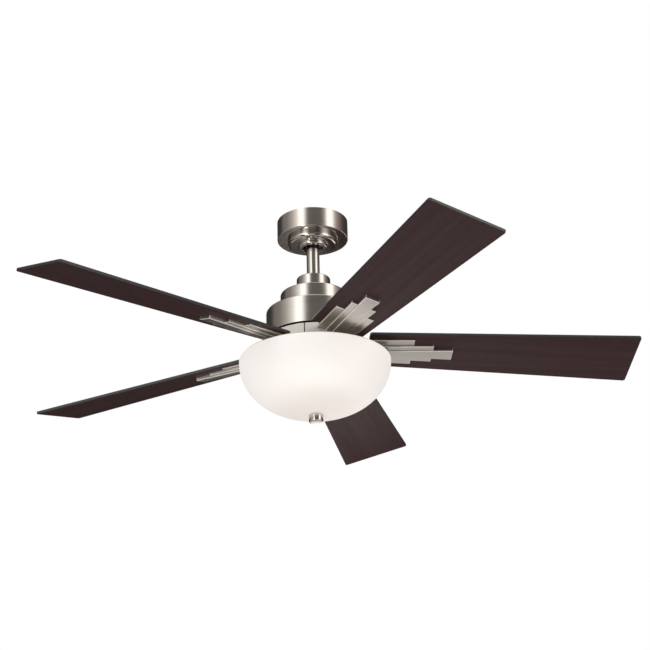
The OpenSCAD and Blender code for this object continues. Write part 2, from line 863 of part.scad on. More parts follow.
module finial() {
    low = finial_top - finial_h;
    color("silver") difference() {
        spin([[0, finial_top], [finial_d / 2, finial_top, 1], [finial_d / 2 - 0.6, low, 2.5], [0, low]]);
        bar(centre_rod_r + run_fit, low + 3.5, finial_h);
    }
}

hanger_bracket();
ground_screw();
canopy();
canopy_screws();
canopy_cover();
hanger_ball();
ball_cross_pin();
ball_set_screw();
downrod();
clevis_pin();
cotter_pin();
motor_yoke();
yoke_set_screws();
coupling_cover();
upper_housing();
motor_housing();
housing_screws();
motor_shaft();
upper_bearing_race();
lower_bearing_race();
shaft_clip();
stator_core();
stator_winding();
rotor_bell_upper();
rotor_bell_lower();
rotor_cage();
upper_bearing();
lower_bearing();
bell_screws();
flywheel();
blade_arm(1);  // blade_arm_1
blade_arm(2);  // blade_arm_2
blade_arm(3);  // blade_arm_3
blade_arm(4);  // blade_arm_4
blade_arm(5);  // blade_arm_5
arm_screws();
blade(1);  // blade_1
blade(2);  // blade_2
blade(3);  // blade_3
blade(4);  // blade_4
blade(5);  // blade_5
blade_washers();
blade_screws();
switch_cup();
capacitor();
light_pan();
pan_screws();
lamp_strap();
lamp_holder_a();
lamp_holder_b();
bulb_a();
bulb_b();
centre_rod();
rod_locknut();
rim_gasket();
glass_bowl();
bowl_seat_washer();
bowl_washer();
finial();
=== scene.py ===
# A five-blade ceiling fan with an opal bowl light, in brushed nickel and dark wood.
# Metres, in the frame's own axes: +Z is up, and the origin is on the ceiling, on the fan's axis.
import math

import bmesh
import bpy
from mathutils import Matrix, Vector


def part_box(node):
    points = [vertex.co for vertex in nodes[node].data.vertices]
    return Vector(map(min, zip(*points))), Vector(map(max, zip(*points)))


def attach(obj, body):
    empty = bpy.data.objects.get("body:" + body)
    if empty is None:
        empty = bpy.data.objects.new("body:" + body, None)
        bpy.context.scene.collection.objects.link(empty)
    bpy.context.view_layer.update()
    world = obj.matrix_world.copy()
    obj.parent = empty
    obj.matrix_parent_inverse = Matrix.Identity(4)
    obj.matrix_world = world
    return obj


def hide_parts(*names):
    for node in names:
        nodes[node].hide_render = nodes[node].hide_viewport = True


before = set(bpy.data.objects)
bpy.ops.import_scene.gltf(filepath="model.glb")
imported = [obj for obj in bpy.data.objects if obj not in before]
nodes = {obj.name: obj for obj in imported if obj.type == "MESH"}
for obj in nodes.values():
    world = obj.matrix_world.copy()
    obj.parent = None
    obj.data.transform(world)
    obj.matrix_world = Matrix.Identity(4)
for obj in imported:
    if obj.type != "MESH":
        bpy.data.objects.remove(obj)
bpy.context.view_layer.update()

MM = 0.001
FULL_TURN = 2 * math.pi
TURN_STEPS = 160
SMALL_TURN_STEPS = 64
CORNER_STEPS = 6
WELD = 1e-7
SHARP_LIMIT = math.radians(35)
SMOOTH_LIMIT = math.radians(48)


def radius_of(node):
    """The outside radius of a round CAD node on the fan's axis."""
    low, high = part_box(node)
    return (high.x - low.x) / 2


def top_of(node):
    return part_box(node)[1].z


def bottom_of(node):
    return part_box(node)[0].z


# Blades and their arms: the same values as the CAD model's
BLADE_PHASE = math.radians(-66.3)
BLADE_STEP = FULL_TURN / 5
BLADE_PITCH = math.radians(13.5)
BLADE_DROOP = math.radians(1.14)
BLADE_T = 5.6 * MM
BLADE_Z = top_of("blade_arm_1") - 11.5 * MM
BLADE_UNDER = -BLADE_T / 2
SWEEP_R = 660.4 * MM
ROOT_R = 107 * MM
ROOT_W = 106.4 * MM
TIP_W = 151.4 * MM
TIP_MARGIN = 0.06 * MM
TIP_R = math.sqrt(SWEEP_R ** 2 - (TIP_W / 2) ** 2) - TIP_MARGIN
BLADE_CORNER = 5 * MM
BLADE_RIM = 0.7 * MM
GRAIN_SHIFT = 0.37
BLADE_SCREWS = [(130 * MM, 0), (176 * MM, -15 * MM), (176 * MM, 15 * MM)]
WASHER_T = 1 * MM


def blade_place(k):
    """Where blade k's own frame lies: X out along the blade, Z square to its face."""
    turn = Matrix.Rotation(BLADE_PHASE + BLADE_STEP * (k - 1), 4, "Z")
    droop = Matrix.Rotation(BLADE_DROOP, 4, "Y")
    pitch = Matrix.Rotation(-BLADE_PITCH, 4, "X")
    return turn @ Matrix.Translation((0, 0, BLADE_Z)) @ droop @ pitch


# ---------------------------------------------------------------- shaders


class Value:
    """One output of a shader node. Arithmetic on it adds Math nodes to the same shader."""

    def __init__(self, shader, node, output=0):
        self.shader = shader
        self.node = node
        self.socket = node.outputs[output]

    def out(self, output):
        """Another output of the same node."""
        return Value(self.shader, self.node, output)

    def math(self, operation, *others):
        inputs = dict(enumerate((self, *others)))
        return self.shader.node("ShaderNodeMath", {"operation": operation}, inputs)

    def __add__(self, other):
        return self.math("ADD", other)

    __radd__ = __add__

    def __sub__(self, other):
        return self.math("SUBTRACT", other)

    def __mul__(self, other):
        return self.math("MULTIPLY", other)

    def __truediv__(self, other):
        return self.math("DIVIDE", other)

    def __pow__(self, other):
        return self.math("POWER", other)


class Shader:
    """The node tree of a material or of the world."""

    def __init__(self, owner):
        owner.use_nodes = True
        self.tree = owner.node_tree
        self.tree.nodes.clear()

    def node(self, kind, settings=None, sockets=None):
        """Adds a node: its settings first, then a value or a link for each of its sockets."""
        made = self.tree.nodes.new(kind)
        for name, value in (settings or {}).items():
            if name == "stops":
                self.set_stops(made.color_ramp, value)
            else:
                setattr(made, name, value)
        for name, value in (sockets or {}).items():
            socket = made.inputs[name]
            if isinstance(value, Value):
                self.tree.links.new(value.socket, socket)
            elif socket.type == "RGBA" and len(value) == 3:
                socket.default_value = (*value, 1)
            else:
                socket.default_value = value
        return Value(self, made) if made.outputs else made

    def set_stops(self, ramp, stops):
        """Stops are (place, colour) pairs, from the lowest place up."""
        ramp.elements.remove(ramp.elements[1])
        for i, (place, colour) in enumerate(stops):
            stop = ramp.elements[0] if i == 0 else ramp.elements.new(place)
            stop.position = place
            stop.color = (*colour, 1)

    def xyz(self, vector):
        parts = self.node("ShaderNodeSeparateXYZ", {}, {0: vector})
        return parts, parts.out(1), parts.out(2)

    def join(self, x, y, z=0.0):
        return self.node("ShaderNodeCombineXYZ", {}, {0: x, 1: y, 2: z})

    def noise(self, vector, scale=1.0, detail=2.0, w=None):
        settings = {"noise_dimensions": "3D" if w is None else "4D"}
        sockets = {"Vector": vector, "Scale": scale, "Detail": detail}
        if w is not None:
            sockets["W"] = w
        return self.node("ShaderNodeTexNoise", settings, sockets)

    def ease(self, value, low, high):
        """Goes from 0 to 1, smoothly, as value goes from low to high."""
        sockets = {0: value, 1: low, 2: high, 3: 0.0, 4: 1.0}
        return self.node("ShaderNodeMapRange", {"interpolation_type": "SMOOTHSTEP"}, sockets)

    def blend(self, share, first, second):
        """One colour turning into another as share goes from 0 to 1."""
        sockets = {"Factor": share, 6: first, 7: second}
        return self.node("ShaderNodeMix", {"data_type": "RGBA"}, sockets).out(2)

    def bump(self, height, distance):
        sockets = {"Height": height, "Distance": distance, "Strength": 1.0}
        return self.node("ShaderNodeBump", {}, sockets)


class Finish(Shader):
    """A material of the object, made from nodes."""

    def __init__(self, name):
        self.material = bpy.data.materials.new(name)
        super().__init__(self.material)
        self.object_place = self.node("ShaderNodeTexCoord").out("Object")

    def surface(self, sockets):
        """Ends the material in one Principled shader and returns the material."""
        shader = self.node("ShaderNodeBsdfPrincipled", {}, sockets)
        self.node("ShaderNodeOutputMaterial", {}, {"Surface": shader})
        return self.material


NICKEL_LIGHT = (0.70, 0.665, 0.625)
NICKEL_DARK = (0.51, 0.485, 0.455)


def nickel(finish, lines, patches, rough, bump=4e-6, spread=0.0, tones=(NICKEL_DARK, NICKEL_LIGHT)):
    """Satin nickel: fine lines left by the brush, over wider streaks of tone."""
    tone = finish.blend(patches * 0.55 + lines * 0.45, *tones)
    return finish.surface({
        "Base Color": tone,
        "Metallic": 1.0,
        "Roughness": lines * 0.10 + patches * 0.05 + (rough - 0.075),
        "Anisotropic": spread,
        "Normal": finish.bump(lines, bump),
    })


def turned_nickel(name, rough, streak=90):
    """Nickel brushed as it turns: the lines run round the axis, and streak is how close
    the wider streaks of tone are."""
    finish = Finish(name)
    x, y, z = finish.xyz(finish.object_place)
    r = (x * x + y * y) ** 0.5
    lines = finish.noise(finish.join(x * 9, y * 9, z * 1800), w=r * 1800)
    patches = finish.noise(finish.join(x * 14, y * 14, z * streak), w=r * streak, detail=3)
    return nickel(finish, lines, patches, rough)


def brushed_nickel():
    """Nickel brushed along the first direction of a piece's own map."""
    finish = Finish("brushed_nickel_flat")
    u, v, _ = finish.xyz(finish.node("ShaderNodeUVMap"))
    lines = finish.noise(finish.join(u * 14, v * 1600))
    patches = finish.noise(finish.join(u * 10, v * 380), detail=3)
    return nickel(finish, lines, patches, rough=0.35, bump=1e-5)


def ring_nickel():
    """Nickel brushed up and down the ring's wall: broad, soft reflections. Its tones are lighter than the
    rest of the nickel: painted light that brightens the ring.
    """
    finish = Finish("brushed_nickel_ring_painted_bright")
    u, v, _ = finish.xyz(finish.node("ShaderNodeUVMap"))
    lines = finish.noise(finish.join(u * 900, v * 9))
    patches = finish.noise(finish.join(u * 90, v * 6), detail=3)
    # Tones lighter than the drums' nickel: painted light.
    return nickel(finish, lines, patches, 0.5, 2e-5, 0.9, ((0.76, 0.73, 0.69), (1.0, 0.98, 0.94)))


def walnut():
    """Dark stained walnut, its grain along the blade, under satin lacquer."""
    finish = Finish("dark_walnut")
    u, v, _ = finish.xyz(finish.node("ShaderNodeUVMap"))
    drift = finish.noise(finish.join(u * 1.2, v * 5), detail=2) - 0.5
    bands = finish.noise(finish.join(u * 0.9, v * 60 + drift * 3), detail=4)
    figure = finish.noise(finish.join(u * 4, v * 300 + drift * 12), detail=3)
    pores = finish.noise(finish.join(u * 55, v * 1900), detail=2)
    open_pores = finish.ease(pores, 0.60, 0.74)
    tone = finish.ease(bands * 0.6 + figure * 0.4, 0.34, 0.66)
    wood = finish.blend(tone, (0.044, 0.0212, 0.0212), (0.056, 0.0295, 0.031))
    stained = finish.blend(open_pores * 0.35, wood, (0.022, 0.010, 0.010))
    return finish.surface({
        "Base Color": stained,
        "Roughness": 0.52 + open_pores * 0.10 - tone * 0.05,
        "Specular IOR Level": 0.12,
        "Normal": finish.bump(figure * 0.4 - open_pores, 2e-5),
    })


def edge_lacquer():
    """The black lacquer that seals a blade's sawn edge."""
    finish = Finish("black_edge_lacquer")
    grain = finish.noise(finish.object_place, scale=240, detail=3)
    return finish.surface({
        "Base Color": finish.blend(grain, (0.012, 0.014, 0.017), (0.030, 0.034, 0.040)),
        "Roughness": grain * 0.2 + 0.28,
        "Coat Weight": 0.5,
        "Coat Roughness": 0.2,
        "Normal": finish.bump(grain, 3e-5),
    })


# Where the painted lamp light is centred and how far it spreads, and from what depth the painted shade
# darkens the bowl's bottom.
GLOW_DEPTH = 0.66
GLOW_HALF_HEIGHT = 0.20
GLOW_HALF_WIDTH = 72 * MM
SHADE_DEPTH = 0.7


def opal_glass(rim_z, depth):
    """Etched opal glass. The light of the two lamps inside is painted on as emission, brightest low in the
    middle, with painted shade that darkens it towards the bottom.
    """
    finish = Finish("opal_glass")
    x, _, z = finish.xyz(finish.object_place)
    # Painted lamp light: a soft patch of brighter emission low in the middle.
    low = (z - (rim_z - depth * GLOW_DEPTH)) / (depth * GLOW_HALF_HEIGHT)
    side = x / GLOW_HALF_WIDTH
    glow = ((side * side + low * low) * -1).math("EXPONENT")
    mist = finish.noise(finish.object_place, scale=16, detail=2)
    etch = finish.noise(finish.object_place, scale=900, detail=2)
    # Painted shade: the emission turns darker towards the bottom.
    shade = finish.ease(z, rim_z - depth, rim_z - depth * SHADE_DEPTH)
    lit = finish.blend(glow, (0.60, 0.565, 0.55), (0.67, 0.635, 0.595))
    return finish.surface({
        "Base Color": finish.blend(mist, (0.44, 0.43, 0.42), (0.48, 0.47, 0.46)),
        "Roughness": etch * 0.1 + 0.45,
        "Specular IOR Level": 0.3,
        "Emission Color": finish.blend(shade, (0.53, 0.465, 0.435), lit),
        "Emission Strength": 1.0,
        "Normal": finish.bump(etch, 4e-6),
    })


def mottled(name, dark, light, rough=0.4, metallic=0.0, grain=400, bump=1e-5, coat=0.0):
    """A plain finish with slow patches of tone and a fine even grain."""
    finish = Finish(name)
    fine = finish.noise(finish.object_place, scale=grain, detail=3)
    patches = finish.noise(finish.object_place, scale=grain / 12, detail=2)
    return finish.surface({
        "Base Color": finish.blend(fine * 0.4 + patches * 0.6, dark, light),
        "Roughness": fine * 0.16 + patches * 0.08 + (rough - 0.12),
        "Metallic": metallic,
        "Coat Weight": coat,
        "Normal": finish.bump(fine, bump),
    })


def striped(name, dark, light, pitch, axis):
    """Metal in thin even layers or turns, one every pitch along an axis."""
    finish = Finish(name)
    along = finish.xyz(finish.object_place)[axis]
    wave = (along * (FULL_TURN / pitch)).math("SINE") * 0.5 + 0.5
    fine = finish.noise(finish.object_place, scale=600, detail=2)
    return finish.surface({
        "Base Color": finish.blend(wave * 0.8 + fine * 0.2, dark, light),
        "Roughness": fine * 0.2 + 0.25,
        "Metallic": 1.0,
        "Normal": finish.bump(wave, pitch * 0.2),
    })


def lamp_glass():
    """The frosted glass of a lit lamp."""
    finish = Finish("lamp_glass")
    mist = finish.noise(finish.object_place, scale=60, detail=2)
    return finish.surface({
        "Base Color": (0.9, 0.88, 0.84),
        "Roughness": mist * 0.1 + 0.15,
        "Emission Color": finish.blend(mist, (1.0, 0.80, 0.55), (1.0, 0.90, 0.74)),
        "Emission Strength": 3.0,
    })


# ---------------------------------------------------------------- mesh work


def round_corner(bm, vert, radius):
    """Rounds the corner of an outline at one vertex."""
    first, second = (edge.other_vert(vert).co - vert.co for edge in vert.link_edges)
    reach = radius / math.tan(first.angle(second) / 2)
    bmesh.ops.bevel(bm, geom=[vert], offset=reach, offset_type="OFFSET",
                    segments=CORNER_STEPS, profile=0.5, affect="VERTICES", material=-1)


def outline(bm, points, place, closed=True):
    """A line through the points; a point's third value is the radius of its corner."""
    verts = [bm.verts.new(place(point[0], point[1])) for point in points]
    ends = verts[1:] + verts[:1] if closed else verts[1:]
    for start, end in zip(verts, ends):
        bm.edges.new((start, end))
    for vert, point in zip(verts, points):
        if len(point) > 2:
            round_corner(bm, vert, point[2])


def turned(points, closed=True, steps=TURN_STEPS):
    """A body turned about the Z axis from an outline of (radius, height) points."""
    bm = bmesh.new()
    outline(bm, points, lambda r, z: (r, 0, z), closed)
    bmesh.ops.spin(bm, geom=bm.verts[:] + bm.edges[:], cent=(0, 0, 0), axis=(0, 0, 1),
                   dvec=(0, 0, 0), angle=FULL_TURN, steps=steps, use_merge=True)
    bmesh.ops.remove_doubles(bm, verts=bm.verts[:], dist=WELD)
    bmesh.ops.recalc_face_normals(bm, faces=bm.faces[:])
    return bm


def swept(points, angle, steps):
    """A solid made by turning a filled outline of (radius, height) points part of the way round."""
    bm = bmesh.new()
    outline(bm, points, lambda r, z: (r, 0, z))
    bmesh.ops.edgeloop_fill(bm, edges=bm.edges[:])
    bmesh.ops.spin(bm, geom=bm.faces[:] + bm.edges[:] + bm.verts[:], cent=(0, 0, 0), axis=(0, 0, 1),
                   dvec=(0, 0, 0), angle=angle, steps=steps)
    bmesh.ops.remove_doubles(bm, verts=bm.verts[:], dist=WELD)
    bmesh.ops.recalc_face_normals(bm, faces=bm.faces[:])
    return bm


def plate(points, low, high):
    """A flat plate between two heights, its outline given as (x, y) points."""
    bm = bmesh.new()
    outline(bm, points, lambda x, y: (x, y, low))
    made = bmesh.ops.edgeloop_fill(bm, edges=bm.edges[:])["faces"]
    grown = bmesh.ops.extrude_face_region(bm, geom=made)["geom"]
    raised = [part for part in grown if isinstance(part, bmesh.types.BMVert)]
    bmesh.ops.translate(bm, verts=raised, vec=(0, 0, high - low))
    bmesh.ops.recalc_face_normals(bm, faces=bm.faces[:])
    return bm


def sharp_edges(bm):
    return [e for e in bm.edges if len(e.link_faces) == 2 and e.calc_face_angle() > SHARP_LIMIT]


def soften(bm, width, steps=2, edges=None):
    """Takes the sharpness off a body's edges and returns the faces that this makes."""
    return bmesh.ops.bevel(bm, geom=sharp_edges(bm) if edges is None else edges, offset=width,
                           offset_type="OFFSET", segments=steps, profile=0.5, affect="EDGES",
                           material=-1, clamp_overlap=True)["faces"]


def mesh_of(bm, name="part"):
    mesh = bpy.data.meshes.new(name)
    bm.to_mesh(mesh)
    bm.free()
    return mesh


def combined(meshes, operation="UNION"):
    """The first mesh joined with, or cut by, each of the others."""
    scene = bpy.context.scene.collection
    base = bpy.data.objects.new("base", meshes[0])
    scene.objects.link(base)
    tools = []
    for mesh in meshes[1:]:
        tool = bpy.data.objects.new("tool", mesh)
        scene.objects.link(tool)
        tools.append(tool)
        step = base.modifiers.new("step", "BOOLEAN")
        step.operation = operation
        step.solver = "EXACT"
        step.object = tool
    done = bpy.data.meshes.new_from_object(base.evaluated_get(bpy.context.evaluated_depsgraph_get()))
    for leftover in [base, *tools]:
        bpy.data.objects.remove(leftover)
    return done


def bmesh_of(mesh):
    bm = bmesh.new()
    bm.from_mesh(mesh)
    return bm


def repeated(mesh, places):
    """One body made of the same mesh at each place."""
    bm = bmesh.new()
    for place in places:
        copy = mesh.copy()
        copy.transform(place)
        bm.from_mesh(copy)
        bpy.data.meshes.remove(copy)
    return bm


def map_faces(bm, coordinates):
    """Gives every face corner the map coordinates that its face and its point call for."""
    layer = bm.loops.layers.uv.verify()
    for face in bm.faces:
        for loop in face.loops:
            loop[layer].uv = coordinates(face, loop.vert.co)


def piece(name, bm, materials, body, slot, *stands_for):
    """Finishes a bmesh as a piece that rides on a body in place of CAD nodes."""
    obj = bpy.data.objects.new(name, mesh_of(bm, name))
    bpy.context.scene.collection.objects.link(obj)
    for material in materials:
        obj.data.materials.append(material)
    obj.data.shade_smooth()
    obj.data.set_sharp_from_angle(angle=SMOOTH_LIMIT)
    even = obj.modifiers.new("even_shading", "WEIGHTED_NORMAL")
    even.keep_sharp = True
    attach(obj, body)
    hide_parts(*stands_for)
    return obj


def softened_copy(node, width):
    """A CAD node's shape with its triangles joined into faces and its edges eased."""
    bm = bmesh_of(nodes[node].data)
    bmesh.ops.remove_doubles(bm, verts=bm.verts[:], dist=1e-6)
    bmesh.ops.dissolve_limit(bm, angle_limit=math.radians(1), verts=bm.verts[:], edges=bm.edges[:])
    soften(bm, width)
    return bm


# ---------------------------------------------------------------- finishes

turned_metal = turned_nickel("brushed_nickel_turned", 0.2, 300)
polished_metal = turned_nickel("polished_nickel", 0.14)
brushed_metal = brushed_nickel()
ring_nickel_painted_bright = ring_nickel()
wood = walnut()
edging = edge_lacquer()
glass = opal_glass(top_of("glass_bowl"), top_of("glass_bowl") - bottom_of("glass_bowl"))

zinc_steel = mottled("zinc_steel", (0.42, 0.42, 0.40), (0.62, 0.61, 0.57), 0.34, 1.0, 500, 4e-6)
black_steel = mottled("black_steel", (0.015, 0.015, 0.016), (0.04, 0.04, 0.042), 0.5, 0.0, 700)
# Painted highlight for the eased edges of the arms: a paler, less metallic nickel that stands in for the
# light the edges catch.
edge_highlight_paint = mottled("painted_edge_highlight", (0.86, 0.83, 0.77), (1.0, 0.97, 0.91), 0.24, 0.35, 900, 2e-6)
green_screw = mottled("green_screw", (0.02, 0.16, 0.06), (0.04, 0.26, 0.10), 0.35, 0.4, 600)
screw_metal = mottled("nickel_screw", (0.50, 0.46, 0.42), (0.66, 0.61, 0.56), 0.24, 1.0, 900, 3e-6)
cast_ball = mottled("cast_ball", (0.03, 0.03, 0.032), (0.07, 0.07, 0.072), 0.5, 0.0, 500, 3e-5, 0.2)
cast_alloy = mottled("cast_alloy", (0.36, 0.36, 0.36), (0.56, 0.56, 0.55), 0.5, 1.0, 350, 4e-5)
felt = mottled("pale_felt", (0.42, 0.34, 0.24), (0.62, 0.53, 0.40), 0.95, 0.0, 1500, 1e-4)
rubber = mottled("black_rubber", (0.010, 0.010, 0.011), (0.028, 0.028, 0.029), 0.8, 0.0, 900, 2e-5)
plastic = mottled("black_plastic", (0.014, 0.014, 0.016), (0.03, 0.03, 0.033), 0.4, 0.0, 1200, 6e-6, 0.1)
porcelain = mottled("white_porcelain", (0.78, 0.76, 0.71), (0.88, 0.86, 0.82), 0.2, 0.0, 90, 6e-6, 0.6)
enamel = mottled("white_enamel", (0.58, 0.54, 0.47), (0.66, 0.62, 0.55), 0.4, 0.0, 120, 4e-6, 0.3)
core_steel = striped("core_steel", (0.05, 0.055, 0.06), (0.30, 0.31, 0.32), 0.5 * MM, 2)
copper = striped("copper", (0.30, 0.09, 0.035), (0.72, 0.30, 0.13), 0.9 * MM, 2)
lamp_finish = lamp_glass()

# CAD nodes whose shape stays as it is, and the finish that each one gets.
KEPT_SHAPES = [
    (zinc_steel, [
        "ball_cross_pin", "clevis_pin", "cotter_pin", "motor_shaft", "upper_bearing_race",
        "lower_bearing_race", "upper_bearing", "lower_bearing", "lamp_strap", "centre_rod", "rod_locknut",
    ]),
    (black_steel, [
        "ball_set_screw", "yoke_set_screws", "canopy_screws", "housing_screws", "shaft_clip",
        "bell_screws", "arm_screws", "pan_screws",
    ]),
    (cast_alloy, ["rotor_bell_upper", "rotor_bell_lower", "rotor_cage"]),
    (core_steel, ["stator_core"]),
    (copper, ["stator_winding"]),
    (green_screw, ["ground_screw"]),
    (plastic, ["capacitor"]),
    (rubber, ["blade_washers", "bowl_washer"]),
    (felt, ["rim_gasket", "bowl_seat_washer"]),
    (porcelain, ["lamp_holder_a", "lamp_holder_b"]),
    (lamp_finish, ["bulb_a", "bulb_b"]),
]
for material, names in KEPT_SHAPES:
    for name in names:
        nodes[name].data.materials.clear()
        nodes[name].data.materials.append(material)


# ---------------------------------------------------------------- ceiling mount

CANOPY_WALL = 1.2 * MM
CANOPY_HOLE_R = 36.8 * MM


def canopy():
    r, low, wall, mouth = radius_of("canopy"), bottom_of("canopy"), CANOPY_WALL, CANOPY_HOLE_R
    inner = r - wall
    bm = turned([
        (mouth, low), (r, low, 1.6 * MM), (r, 0, 0.3 * MM), (inner, 0),
        (inner, low + wall, 0.6 * MM), (mouth, low + wall)
    ])
    piece("canopy_shell", bm, [turned_metal], "ceiling_mount", "brushed_nickel", "canopy")


COVER_WALL = 1 * MM
COVER_STEP_H = 12.5 * MM
COVER_STEP_R = 31.2 * MM
COVER_HOLE_R = 21.5 * MM
COVER_FLANGE_R = 37.8 * MM
COVER_ROUND = 7 * MM
COLLAR_ROUND = 3.4 * MM
SCREW_HEAD_R = 4.5 * MM
KEYHOLE_R = radius_of("canopy_screws") - SCREW_HEAD_R
KEYHOLE_SLOT = 4.6 * MM
KEYHOLE_END = 9.6 * MM
KEYHOLE_CUT = 2 * MM
KEYHOLE_TURN = math.radians(18)


def keyhole(side, z):
    """What is cut from the cover for one screw: a slot to turn along, wide at its far end."""
    half_slot = KEYHOLE_SLOT / 2
    inner, outer, low, high = KEYHOLE_R - half_slot, KEYHOLE_R + half_slot, z - KEYHOLE_CUT, z + KEYHOLE_CUT
    slot = swept([(inner, low), (outer, low), (outer, high), (inner, high)], -KEYHOLE_TURN, 12)
    tools = [mesh_of(slot)]
    for turn, radius in ((0, half_slot), (-KEYHOLE_TURN, KEYHOLE_END / 2)):
        bm = bmesh.new()
        place = Matrix.Rotation(turn, 4, "Z") @ Matrix.Translation((KEYHOLE_R, 0, z))
        bmesh.ops.create_cone(bm, cap_ends=True, segments=32, radius1=radius, radius2=radius,
                              depth=2 * KEYHOLE_CUT, matrix=place)
        tools.append(mesh_of(bm))
    for mesh in tools:
        mesh.transform(Matrix.Rotation(side, 4, "Z"))
    return tools


def canopy_cover():
    r, top, low = radius_of("canopy_cover"), top_of("canopy_cover"), bottom_of("canopy_cover")
    middle, wall = top - COVER_STEP_H, COVER_WALL
    step_r, hole_r, lip_r = COVER_STEP_R, COVER_HOLE_R, COVER_FLANGE_R
    bm = turned([
        (lip_r, top), (r, top, 0.5 * MM), (r, middle, COVER_ROUND), (step_r, middle, 0.8 * MM),
        (step_r, low, COLLAR_ROUND), (hole_r, low, 0.35 * MM), (hole_r, low + wall),
        (step_r - wall, low + wall, COLLAR_ROUND - wall), (step_r - wall, middle + wall),
        (r - wall, middle + wall, COVER_ROUND - wall), (r - wall, top - wall), (lip_r, top - wall)
    ])
    cover = combined([mesh_of(bm), *keyhole(0, top), *keyhole(math.pi, top)], "DIFFERENCE")
    piece("stepped_cover", bmesh_of(cover), [polished_metal], "cover", "brushed_nickel", "canopy_cover")


def hanger():
    piece("hanger_plate", softened_copy("hanger_bracket", 0.4 * MM), [zinc_steel],
          "ceiling_mount", "zinc_steel", "hanger_bracket")
    piece("hanger_ball_shaped", softened_copy("hanger_ball", 0.4 * MM), [cast_ball],
          "hanging_motor", "cast_ball", "hanger_ball")
    piece("yoke_cast", softened_copy("motor_yoke", 0.5 * MM), [cast_alloy],
          "hanging_motor", "cast_alloy", "motor_yoke")


ROD_WALL = 2.9 * MM


def downrod():
    r, top, low, wall = radius_of("downrod"), top_of("downrod"), bottom_of("downrod"), ROD_WALL
    bm = turned([
        (r, top, 0.5 * MM), (r, low, 0.5 * MM), (r - wall, low, 0.4 * MM), (r - wall, top, 0.4 * MM)
    ], steps=SMALL_TURN_STEPS)
    piece("downrod_tube", bm, [turned_metal], "hanging_motor", "brushed_nickel", "downrod")


# ---------------------------------------------------------------- motor housing

HOUSING_WALL = 1.2 * MM
FLYWHEEL_HOLE_R = 45 * MM
FLYWHEEL_EDGE = 0.8 * MM


def tier(name, node, body, hole_r, edge):
    """One of the three stepped drums: a cup with an open bottom."""
    r, top, low, wall = radius_of(node), top_of(node), bottom_of(node), HOUSING_WALL
    bm = turned([
        (hole_r, top, 0.3 * MM), (r, top, edge), (r, low, 0.45 * MM), (r - wall, low, 0.3 * MM),
        (r - wall, top - wall, edge - wall), (hole_r, top - wall)
    ])
    piece(name, bm, [turned_metal], body, "brushed_nickel", node)


def flywheel():
    r, top, low = radius_of("flywheel"), top_of("flywheel"), bottom_of("flywheel")
    corners = [(FLYWHEEL_HOLE_R, low), (r, low), (r, top), (FLYWHEEL_HOLE_R, top)]
    bm = turned([(*corner, FLYWHEEL_EDGE) for corner in corners])
    piece("flywheel_disc", bm, [black_steel], "rotor", "black_steel", "flywheel")


# ---------------------------------------------------------------- blades and arms


def blade(k):
    half_root, half_tip = ROOT_W / 2, TIP_W / 2
    bm = plate([
        (ROOT_R, -half_root, BLADE_CORNER), (TIP_R, -half_tip, BLADE_CORNER),
        (TIP_R, half_tip, BLADE_CORNER), (ROOT_R, half_root, BLADE_CORNER)
    ], BLADE_UNDER, -BLADE_UNDER)
    for face in bm.faces:
        face.material_index = 0 if abs(face.normal.z) > 0.5 else 1
    rims = [e for e in bm.edges if {f.material_index for f in e.link_faces} == {0, 1}]
    soften(bm, BLADE_RIM, 3, rims)
    map_faces(bm, lambda face, co: (co.x, co.y + k * GRAIN_SHIFT))
    bmesh.ops.transform(bm, matrix=blade_place(k), verts=bm.verts[:])
    piece(f"wood_blade_{k}", bm, [wood, edging], "rotor", "dark_walnut", f"blade_{k}")


FINGER_R = 198.7 * MM
FINGER_STEP = 40.4 * MM
FINGER_DEPTH = 3.9 * MM
FINGER_DROP = [0, 3.4 * MM, 5.5 * MM]
FINGER_OUT = [40.3 * MM, 26 * MM, 15.3 * MM]
FINGER_IN = [36.2 * MM, 18.9 * MM, 6.4 * MM]
FINGER_TILT = math.radians(1.03)
ARM_IN_R = 90 * MM
RING_R = radius_of("motor_housing") + 2.6 * MM
RING_IN_R = 62 * MM
RING_H = 27.5 * MM
RING_SKEW = math.radians(1)
RING_GAP = math.radians(1)
ARM_SKIRT = 4 * MM
ARM_EDGE = 1.3 * MM
FINGER_TOP = 4 * MM
LAYER_STAGGER = 0.01 * MM


def ease_edges_with_painted_highlight(bm, edges):
    """Eases edges of an arm and gives them its third material, a painted highlight: paler and less metallic
    than the nickel, it stands in for the light that the edges catch.
    """
    for face in soften(bm, ARM_EDGE, 3, edges):
        face.material_index = 2


def finger_layer(i):
    """One flat layer of an arm's fingers, in the blade's own frame."""
    end_r, tip_r = FINGER_R + i * FINGER_STEP, FINGER_R + 2 * FINGER_STEP
    depth = FINGER_DEPTH + FINGER_DROP[i]
    bm = plate([
        (ARM_IN_R, -FINGER_IN[i]), (end_r, -FINGER_OUT[i]),
        (end_r, FINGER_OUT[i]), (ARM_IN_R, FINGER_IN[i])
    ], -depth, FINGER_TOP)
    ease_edges_with_painted_highlight(bm, [e for e in sharp_edges(bm) if min(v.co.z for v in e.verts) < -BLADE_T / 2])
    hinge, back = Matrix.Translation((tip_r, 0, 0)), Matrix.Translation((-tip_r, 0, 0))
    tilt = hinge @ Matrix.Rotation(-FINGER_TILT, 4, "Y") @ back
    bmesh.ops.transform(bm, matrix=tilt, verts=bm.verts[:])
    level = BLADE_UNDER - i * LAYER_STAGGER
    cut = bmesh.ops.bisect_plane(bm, geom=bm.verts[:] + bm.edges[:] + bm.faces[:], dist=WELD,
                                 plane_co=(0, 0, level), plane_no=(0, 0, 1), clear_outer=True)
    bmesh.ops.edgeloop_fill(bm, edges=[e for e in cut["geom_cut"] if isinstance(e, bmesh.types.BMEdge)])
    bmesh.ops.recalc_face_normals(bm, faces=bm.faces[:])
    return bm


